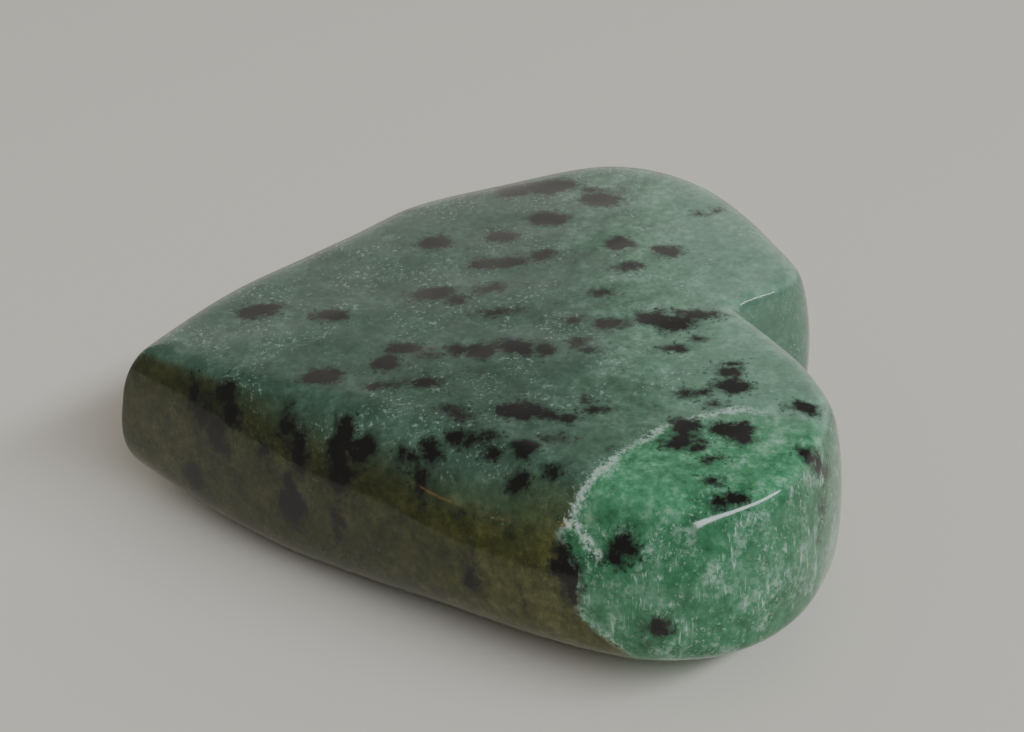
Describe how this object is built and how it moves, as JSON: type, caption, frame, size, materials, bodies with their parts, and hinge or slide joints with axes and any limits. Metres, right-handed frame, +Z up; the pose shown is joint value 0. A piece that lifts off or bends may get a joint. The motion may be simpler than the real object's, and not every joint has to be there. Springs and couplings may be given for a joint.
{
  "type": "polished stone heart",
  "caption": "Palm-sized heart cut and polished from green zoisite with dark hornblende specks, lying on a small flat spot under its middle.",
  "frame": {"origin": "centre of the footprint, at the level of the flat spot the heart rests on", "axes": "+Z up through the broad face, +Y towards the two lobes, -Y towards the point, +X across the heart"},
  "size_m": [0.059, 0.0528, 0.0156],
  "materials": {
    "zoisite": "tumbled and polished"
  },
  "bodies": {
    "root": {"heart": "zoisite"}
  },
  "joints": []
}
